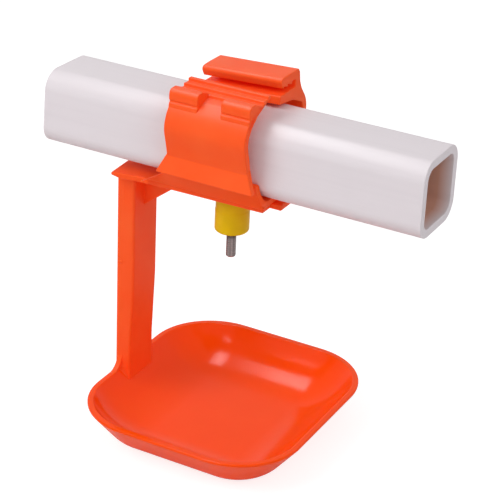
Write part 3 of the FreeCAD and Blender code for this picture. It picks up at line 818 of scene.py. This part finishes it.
def trough(pipe):
    """Channel under the pipe. Its U section is carried along X with every point held below the side
    view's line, z = min(z, cut(x)), which steps down to the tail and slopes to nothing at its end,
    and above the round of its other end, z >= bottom + r - sqrt(r^2 - (x - start of round)^2).
    Along the tail the section sinks between its side walls, to a bed at the bottom and evenly less
    towards the line."""
    seat, turn = PIPE_HALF + SEAT_CLEARANCE, pipe["corner"] + SEAT_CLEARANCE
    base, bevel = 10.2, TROUGH_BOTTOM + 4.9
    outline = rounded([
        (-base, TROUGH_BOTTOM, 0.8), (base, TROUGH_BOTTOM, 0.8), (TROUGH_HALF, bevel, 2.0),
        (TROUGH_HALF, TROUGH_TOP, 0.5), (seat, TROUGH_TOP, 0.3), (seat, PIPE_BOTTOM, turn),
        (-seat, PIPE_BOTTOM, turn), (-seat, TROUGH_TOP, 0.3), (-TROUGH_HALF, TROUGH_TOP, 0.5),
        (-TROUGH_HALF, bevel, 2.0)], 10)
    tail_end, tail_start, step, slant, end = -22.6, -15.6, -13.2, 13.3, 15.4
    tail, low = TROUGH_BOTTOM + 4.3, TROUGH_BOTTOM + 0.05
    cut = np.array([(tail_end, low), (tail_start, tail), (step - 0.05, tail + 0.6),
                    (step + 0.05, TROUGH_TOP), (slant, TROUGH_TOP),
                    (slant + 0.4, TROUGH_TOP - 0.5), (slant + 0.8, TROUGH_TOP - 2.2),
                    (end, low + 2.6)])
    nose, blunt = 1.6, 0.985
    curve = end - nose + nose * np.sin(np.linspace(0, 1.4, 10))
    x = np.unique(np.concatenate([cut[:, 0], np.linspace(tail_end, end, 60), curve]))
    line = np.interp(x, cut[:, 0], cut[:, 1])[:, None]
    into_nose = np.clip(x - end + nose, 0, blunt * nose)
    sole = (TROUGH_BOTTOM + nose - np.sqrt(nose ** 2 - into_nose ** 2))[:, None]
    y, z = outline[:, 0], np.minimum(outline[:, 1], line)
    bed, fade, touch = low - 0.03, 0.8, 1e-6
    between = (np.abs(y) <= seat + touch) & (outline[:, 1] >= PIPE_BOTTOM - touch)
    climb = np.clip((outline[:, 1] - PIPE_BOTTOM) / (TROUGH_TOP - PIPE_BOTTOM), 0, 1)
    sunk = np.minimum(bed + (line - bed) * climb, z)
    share = np.clip((step - x) / fade, 0, 1)[:, None] * between
    z = np.maximum(z + (sunk - z) * share, sole)
    return shell(np.stack(np.broadcast_arrays(x[:, None], y[None, :], z), -1))


class DRINKER_OT_clamp(bpy.types.Operator):
    """Saddle clamp: trough, springy jaws with spread feet, toothed tongue, bosses and hook"""
    bl_idname = "drinker.clamp"
    bl_label = "Saddle clamp"

    def execute(self, context):
        clamp = mm(context.scene.drinker_clamp)
        pipe = mm(context.scene.drinker_pipe)
        orange = material_of(context, "Polypropylene from a satin mould")
        pieces = {
            "clamp_trough": [trough(pipe)],
            "clamp_front_jaw": [front_jaw(clamp)],
            "clamp_bosses": [boss(clamp, -1), boss(clamp, 1)],
            "clamp_rear_jaw": [rear_jaw(clamp)],
            "clamp_feet": [made(clamp, side) for made in (foot, jaw_root) for side in (-1, 1)],
        }
        for name, shells in pieces.items():
            build(name, shells, "fixture", orange, "saddle_clamp")
        return {"FINISHED"}


# Drip cup

def dish(cup):
    """Rounded square dish, one ring per step of its profile: (inset from the rim's outside, height)
    runs from the middle of the underside over the bottom round, the leaning wall, the rounded rim,
    the inner wall and its round to the middle of the floor. A ring at inset d has half sizes
    half - d and corner radius corner - d, down to a small oblong in the middle."""
    depth, draft, wall, floor = cup["depth"], cup["draft"], cup["wall"], cup["floor"]
    rim_round, bottom_round, bowl_round = 0.4, 10.2, 21.0
    oblong_half, oblong_round = 1.0, 0.6
    knee = depth - RIM_BAND
    half = min(cup["length"], cup["width"]) / 2
    floor_edge = wall + draft / knee * (knee - floor)
    outside = rounded([(half, 0, 0), (draft, 0, bottom_round), (0, knee, 0.3),
                       (0, depth, rim_round), (wall, depth, rim_round),
                       (floor_edge, floor, 0)], 16)[:-1]
    bowl = arc_of_corner(np.array([wall, depth]), np.array([floor_edge, floor]),
                         np.array([half, floor]), bowl_round, 24, share=0.85)
    outline = np.concatenate([outside, bowl, [[half, floor]]])
    inset, z = np.minimum(outline[:, 0], half - oblong_half), outline[:, 1]
    flat = square_ring(cup["length"] / 2 - inset, cup["width"] / 2 - inset,
                       np.maximum(cup["corner"] - inset, oblong_round), 24)
    height = np.broadcast_to(z[:, None, None], flat.shape[:2] + (1,))
    return shell(np.concatenate([flat, height], -1))


def wall_line(cup, z, inner):
    """X of the dish's wall on the arm's side at height z: it leans in by the draft's rate, outside
    from the knee below the rim and inside from the rim itself."""
    rim, knee = cup["depth"], cup["depth"] - RIM_BAND
    rate = cup["draft"] / knee
    if inner:
        rate *= (knee - cup["floor"]) / (rim - cup["floor"])
        return -cup["length"] / 2 + cup["wall"] + rate * np.maximum(rim - z, 0)
    return -cup["length"] / 2 + rate * np.maximum(knee - z, 0)


def arm(cup):
    """Upright arm in one surface from the dish's wall to the plate, by level sections. Each is a
    rounded oblong with two wings along the rim. A wing reaches s(t) = reach - sqrt(reach^2 -
    (reach - t)^2) out at the height t over the rim, its crown repeats that for the heights
    z + crown * (1 - sin q) at the half thickness less crown * (1 - cos q), and a hollow quarter
    circle joins it to the oblong's side. Below the rim the wings lie inside the dish's wall, and
    the outer face tucks into it."""
    rim, half = cup["depth"], cup["arm_width"] / 2
    reach, crown, sink, bend = 5.0, 0.4, 0.03, 0.8
    tuck_height, tuck_in, outer_round, tucked_round = 3.4, 0.9, 0.5, 0.15
    slimmer, regained, regain_low, regain_high = 0.85, 0.75, 20.0, 40.0
    thinnest, apart, into_plate = 0.06, 0.02, 1.0
    face = -cup["length"] / 2 - ARM_OUTSET + cup["arm_depth"] - slimmer
    # The inner face bends out of the bowl's wall where the two would meet
    wall_at_rim = wall_line(cup, rim, True)
    lean = math.atan(wall_line(cup, rim - 1, True) - wall_at_rim)
    bend_top = rim - (face - wall_at_rim) / math.tan(lean) + bend * math.tan(lean / 2)
    z = np.concatenate([
        bend_top - bend * np.sin(np.linspace(lean, 0, 6)),
        np.linspace(bend_top, rim - crown, 8)[1:],
        np.linspace(rim - crown, rim + crown, 8)[1:],
        rim + crown + (reach - crown) * (1 - np.cos(np.linspace(0, math.pi / 2, 12)[1:])),
        [regain_low, 28.0, regain_high, PLATE_BOTTOM + into_plate]])[:, None]
    hidden = 0.5 - 0.5 * np.cos(math.pi * np.clip((rim - z) / tuck_height, 0, 1))
    upper = np.clip((z - regain_low) / (regain_high - regain_low), 0, 1)
    outer = wall_line(cup, z, False) - ARM_OUTSET + tuck_in * hidden
    round_out = outer_round + (tucked_round - outer_round) * hidden
    left = np.maximum(wall_line(cup, z, False) + sink, outer + round_out + apart)
    right = wall_line(cup, z, True) - sink
    inner = face + regained * upper + bend - np.sqrt(bend ** 2 - np.maximum(bend_top - z, 0) ** 2)
    depth = np.maximum(inner - right, thinnest)
    inner = right + depth
    round_in = np.minimum(0.8, 0.3 * depth)
    q = np.linspace(0, math.pi / 2, 8)[None, :]
    over = np.clip(z + crown * (1 - np.sin(q)) - rim + sink, 0, reach)
    wing = reach - np.sqrt(reach ** 2 - (reach - over) ** 2)
    middle, shrink = (left + right) / 2, crown * (1 - np.cos(q))
    thick = (right - left) / 2
    hollow = np.minimum(np.minimum(2.4, 0.65 * depth), np.maximum(0.8 * wing[:, :1], apart))
    x = np.concatenate([outer + round_out * (1 - np.cos(q)), middle - thick + shrink,
                        (middle + thick - shrink)[:, ::-1], right + hollow * (1 - np.cos(q)),
                        inner - round_in * (1 - np.sin(q))], 1)
    y = np.concatenate([half - round_out * (1 - np.sin(q)), half + wing, half + wing[:, ::-1],
                        half + hollow * (1 - np.sin(q)), half - round_in * (1 - np.cos(q))], 1)
    x, y = np.concatenate([x, x[:, ::-1]], 1), np.concatenate([y, -y[:, ::-1]], 1)
    return shell(np.stack([x, y, np.broadcast_to(z, x.shape)], -1))


def plate():
    """Plate under the trough: a slab along X that narrows to its free end, bevelled at the arm, and
    a narrow tab past that end. Its front corner at the arm hangs low: z falls by up to warp, as the
    square of the share of the way from the trough's tail to the arm's end, and evenly from the rear
    side to the front."""
    start, tail, end, warp = -34.0, -18.0, 13.9, 0.9
    bevel_length, wide, narrow, edge = 3.0, 9.75, 8.6, 0.3
    tab_end, tab_half, overlap = 17.3, 4.5, 1.7
    bevel_end = start + bevel_length
    x = np.concatenate([[start], np.linspace(bevel_end, tail, 8), [end]])
    half = wide + (narrow - wide) * (x - start) / (end - start)
    low = np.where(x > start, PLATE_BOTTOM, PLATE_BOTTOM + PLATE_BEVEL)
    slab, faces = column([(a, -b, b, c, TROUGH_BOTTOM) for a, b, c in zip(x, half, low)],
                         edge, edge, ALONG_X)
    share = np.clip((tail - slab[:, 0]) / (tail - start), 0, 1)
    slab[:, 2] -= warp * share ** 2 * (0.5 - slab[:, 1] / (2 * wide))
    tab = [(place, -tab_half, tab_half, PLATE_BOTTOM, TROUGH_BOTTOM)
           for place in (end - overlap, tab_end)]
    return [(slab, faces), column(tab, edge, edge, ALONG_X)]


def web(cup):
    """Three-cornered web between the plate's underside and the arm."""
    face = -cup["length"] / 2 - ARM_OUTSET + cup["arm_depth"]
    length, half, overlap = 14.2, 1.0, 1.0
    top, low = PLATE_BOTTOM + PLATE_BEVEL, PLATE_BOTTOM - 11.1
    corners = [(face - overlap, top, 0.1), (face + length, top, 0.1),
               (face + length, PLATE_BOTTOM, 0.1), (face, low, 0.3), (face - overlap, low, 0.1)]
    return carried(rounded(corners), -half, half, 0.3, ALONG_Y)


def gate_mark(place, radius, height, axes, way):
    """Low dome left by a gate of the mould: at angle a from its middle it reaches radius * sin a
    out and stands height * cos a off the face, up or down its axis by way, over a sunken stub."""
    stub, sides = 0.2, 24
    a = np.linspace(math.radians(4), math.pi / 2, 7)
    reach = radius * np.concatenate([np.sin(a), [1.0]])
    rise = np.concatenate([height * np.cos(a), [-stub]])
    t = np.linspace(0, 2 * math.pi, sides, endpoint=False)
    rings = np.empty((len(reach), len(t), 3))
    rings[:, :, axes[0]] = place[axes[0]] + reach[:, None] * np.cos(t)
    rings[:, :, axes[1]] = place[axes[1]] + reach[:, None] * np.sin(t)
    rings[:, :, axes[2]] = place[axes[2]] + (way * rise)[:, None]
    return shell(rings)


class DRINKER_OT_cup(bpy.types.Operator):
    """Drip cup: dish, arm with its blended root, web and plate"""
    bl_idname = "drinker.cup"
    bl_label = "Drip cup"

    def execute(self, context):
        cup = mm(context.scene.drinker_cup)
        polished = material_of(context, "Polypropylene from a polished mould")
        satin = material_of(context, "Polypropylene from a satin mould")
        on_arm = (-32.4, -cup["arm_width"] / 2, 47.0)
        on_floor = (-15.8, 20.0, cup["floor"])
        pieces = {
            "cup_dish": [dish(cup)],
            "cup_arm": [arm(cup)],
            "cup_plate": plate() + [web(cup)],
            "cup_gate_marks": [gate_mark(on_arm, 0.55, 0.25, ALONG_Y, -1),
                               gate_mark(on_floor, 0.5, 0.3, ALONG_Z, 1)],
        }
        for name, shells in pieces.items():
            build(name, shells, "fixture",
                  polished if name == "cup_dish" else satin, "drip_cup")
        return {"FINISHED"}


# Nipple valve

def valve_cap(valve):
    """Sleeve turned from its outline, open below for the pin, with a ledge for the washer below the
    screw and a faint neck outside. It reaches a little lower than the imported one."""
    outer = valve["cap"] / 2
    neck, mouth, washer, screw = outer - 0.1, 2.4, 2.99, 3.94
    neck_height, slope, longer, washer_room = 2.1, 0.3, 0.45, 1.2
    neck_foot, low, ledge = CAP_TOP - neck_height, CAP_FOOT - longer, STEM_FOOT - washer_room
    return turned([(screw, CAP_TOP, 0.1), (neck, CAP_TOP, 0.02), (neck, neck_foot, 0.2),
                   (outer, neck_foot - slope, 0.3), (outer, low, 0.7), (mouth, low, 0.35),
                   (mouth, ledge, 0.1), (washer, ledge, 0.1), (washer, STEM_FOOT, 0.1),
                   (screw, STEM_FOOT, 0.1)])


def valve_stem(valve):
    """Spigot, collar and screw end turned from their outline, with the stepped bore for the seat
    and the ball."""
    collar, screw, spigot = valve["cap"] / 2 - 0.1, 3.9, 3.7
    chamber, ball_chamber, outlet = 2.95, 2.45, 1.7
    joint, shoulder, lip = CAP_TOP + 0.01, PLATE_BOTTOM + 0.2, STEM_TOP - 0.9
    return turned([(chamber, STEM_FOOT, 0.1), (screw, STEM_FOOT, 0.2), (screw, joint, 0.05),
                   (collar, joint, 0.02), (collar, shoulder, 0.05), (spigot, shoulder, 0.05),
                   (spigot, STEM_TOP, 0.3), (outlet, STEM_TOP, 0.1), (outlet, lip, 0.05),
                   (ball_chamber, lip, 0.1), (ball_chamber, SEAT_TOP, 0.05),
                   (chamber, SEAT_TOP, 0.05)])


def pin(valve):
    """Pin turned from its outline: radius against height, with a rounded lower end and a flat head
    that stands on the washer."""
    rod, head, stem = valve["pin"] / 2, 2.4, 0.5
    end_round, thickness, bevel = 0.5, 1.2, 0.1
    top = STEM_FOOT + thickness
    a = np.linspace(0, math.pi / 2, 7)
    radii = np.concatenate([rod - end_round * (1 - np.sin(a)),
                            [rod, head, head, head - bevel, stem, stem]])
    heights = np.concatenate([PIN_FOOT + end_round * (1 - np.cos(a)),
                              [STEM_FOOT, STEM_FOOT, top - bevel, top, top, PIN_TOP]])
    return turned_solid(radii, heights)


class DRINKER_OT_valve(bpy.types.Operator):
    """Nipple valve: cap, stem and trigger pin, and the finish of the pieces inside"""
    bl_idname = "drinker.valve"
    bl_label = "Nipple valve"

    def execute(self, context):
        valve = mm(context.scene.drinker_valve)
        yellow, steel = (material_of(context, name) for name in ("Moulded acetal", "Turned steel"))
        build("valve_cap", [valve_cap(valve)], "fixture", yellow, "nipple_cap")
        build("valve_stem", [valve_stem(valve)], "fixture", yellow, "nipple_stem")
        build("pin", [pin(valve)], "trigger", steel, "trigger_pin")
        finishes = {"upper_seat": steel, "valve_ball": steel,
                    "seat_washer": steel, "pipe_seal": material_of(context, "Moulded rubber")}
        for node, material in finishes.items():
            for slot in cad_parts[node].material_slots:
                slot.material = material
        return {"FINISHED"}


# Studio

def lamp(name, place, target, sides, watts, **seen):
    """Softbox at a place, turned to its target, and seen by the named kinds of ray."""
    light = bpy.data.lights.new(name, "AREA")
    light.shape, light.energy = "RECTANGLE", watts
    light.size, light.size_y = sides
    obj = bpy.data.objects.new(name, light)
    obj.location = place
    obj.rotation_euler = (Vector(target) - Vector(place)).to_track_quat("-Z", "Y").to_euler()
    for key, value in seen.items():
        setattr(obj, key, value)
    bpy.context.scene.collection.objects.link(obj)


def studio_floor():
    """Matt paper floor. What the camera sees of it is lifted to the background's white, and the
    object's shadow stays."""
    reach, level = 6.0, -0.05 * MM
    lift, paper, seen_paper = 0.79, 0.82, 0.42
    corners = [(-reach, -reach, level), (reach, -reach, level), (reach, reach, level),
               (-reach, reach, level)]
    mesh = bpy.data.meshes.new("floor")
    mesh.from_pydata(corners, [], [(0, 1, 2, 3)])
    floor = bpy.data.objects.new("floor", mesh)
    material, tree, place = new_material("Matt paper")
    # Fibres in flocks about 30 mm across
    fibres = add_node(tree, "ShaderNodeTexNoise", {"Vector": place, "Scale": per_mm(30)})
    rough = add_node(tree, "ShaderNodeMapRange",
                     {"Value": fibres.outputs["Fac"], "To Min": 0.9, "To Max": 1.0})
    seen = add_node(tree, "ShaderNodeLightPath").outputs["Is Camera Ray"]
    lifted = add_node(tree, "ShaderNodeMath", {0: seen, 1: lift}, operation="MULTIPLY")
    tone = add_node(tree, "ShaderNodeMix",
                    {"Factor": seen, "A": (paper, paper, paper, 1),
                     "B": (seen_paper, seen_paper, seen_paper, 1)}, data_type="RGBA")
    shader = add_node(tree, "ShaderNodeBsdfPrincipled",
                      {"Base Color": tone.outputs["Result"], "Roughness": rough.outputs["Result"],
                       "Specular IOR Level": 0.0, "Emission Color": (1, 1, 1, 1),
                       "Emission Strength": lifted.outputs["Value"]})
    add_node(tree, "ShaderNodeOutputMaterial", {"Surface": shader.outputs["BSDF"]})
    mesh.materials.append(material)
    bpy.context.scene.collection.objects.link(floor)


def studio_world(ambient):
    """Even light of the room, which is plain white to the rays that the camera sees directly, by
    reflection or through glass."""
    world = bpy.data.worlds.new("Studio")
    world.use_nodes = True
    tree = world.node_tree
    tree.nodes.clear()
    path = add_node(tree, "ShaderNodeLightPath").outputs
    seen = path["Is Camera Ray"]
    for kind in ("Is Glossy Ray", "Is Transmission Ray"):
        seen = add_node(tree, "ShaderNodeMath", {0: seen, 1: path[kind]},
                        operation="MAXIMUM").outputs["Value"]
    level = add_node(tree, "ShaderNodeMix", {"Factor": seen, "A": ambient, "B": 1.0},
                     data_type="FLOAT")
    back = add_node(tree, "ShaderNodeBackground",
                    {"Color": (1, 1, 1, 1), "Strength": level.outputs["Result"]})
    add_node(tree, "ShaderNodeOutputWorld", {"Surface": back.outputs["Background"]})
    bpy.context.scene.world = world


def studio_camera(stage):
    """Camera at the photograph's angle: its axes come from azimuth, elevation and roll, and it
    stands at distance along the line of sight from the pipe's centre, stepped sideways and down."""
    az, el, roll = stage.azimuth, stage.elevation, stage.roll
    back = Vector((math.sin(az) * math.cos(el), -math.cos(az) * math.cos(el), math.sin(el)))
    right = Vector((math.cos(az), math.sin(az), 0))
    up = back.cross(right)
    place = Vector((0, 0, PIPE_MID * MM)) + back * stage.distance + right * stage.right
    place -= up * stage.down
    turned_right = right * math.cos(roll) + up * math.sin(roll)
    turned_up = up * math.cos(roll) - right * math.sin(roll)
    camera = bpy.data.cameras.new("Camera")
    camera.sensor_width, camera.lens = 36.0, stage.lens
    camera.clip_start, camera.clip_end = 0.01, 50.0
    obj = bpy.data.objects.new("Camera", camera)
    axes = Matrix((turned_right, turned_up, back)).transposed()
    obj.matrix_world = Matrix.Translation(place) @ axes.to_4x4()
    bpy.context.scene.collection.objects.link(obj)
    bpy.context.scene.camera = obj


class DRINKER_OT_stage(bpy.types.Operator):
    """Studio: pale floor, even light, two softboxes, a box overhead and the camera"""
    bl_idname = "drinker.stage"
    bl_label = "Studio"

    def execute(self, context):
        stage = context.scene.drinker_stage
        context.scene.view_settings.view_transform = "Standard"
        studio_floor()
        studio_world(stage.ambient)
        # Places and sides of the boxes are in metres
        target, square = (0, 0, 0.04), (0.5, 0.5)
        lamp("Key", (-0.45, -0.62, 0.72), target, square, stage.key, visible_glossy=False)
        lamp("Fill", (0.62, -0.30, 0.72), target, square, stage.fill, visible_glossy=False)
        overhead, below, strip = (-0.08, -0.048, 0.31), (-0.08, -0.048, 0), (0.098, 0.296)
        lamp("Window", overhead, below, strip, stage.window, visible_diffuse=False,
             visible_camera=False)
        studio_camera(stage)
        return {"FINISHED"}


class DRINKER_PT_panel(bpy.types.Panel):
    """The operators in order, and every setting"""
    bl_idname = "DRINKER_PT_panel"
    bl_label = "Poultry drinking cup"
    bl_space_type = "VIEW_3D"
    bl_region_type = "UI"
    bl_category = "Drinker"

    def draw(self, context):
        for operator in OPERATORS:
            self.layout.operator(operator.bl_idname)
        for name, group in GROUPS.items():
            box = self.layout.box()
            for key in group.__annotations__:
                box.prop(getattr(context.scene, name), key)


OPERATORS = (DRINKER_OT_stage, DRINKER_OT_pipe, DRINKER_OT_clamp, DRINKER_OT_cup, DRINKER_OT_valve)
CLASSES = (*GROUPS.values(), *OPERATORS, DRINKER_PT_panel)


def register():
    for cls in CLASSES:
        bpy.utils.register_class(cls)
    for name, group in GROUPS.items():
        setattr(bpy.types.Scene, name, PointerProperty(type=group))


def unregister():
    for name in GROUPS:
        delattr(bpy.types.Scene, name)
    for cls in reversed(CLASSES):
        bpy.utils.unregister_class(cls)


def main():
    register()
    bpy.ops.drinker.stage()
    bpy.ops.drinker.pipe()
    bpy.ops.drinker.clamp()
    bpy.ops.drinker.cup()
    bpy.ops.drinker.valve()


if __name__ == "__main__":
    main()
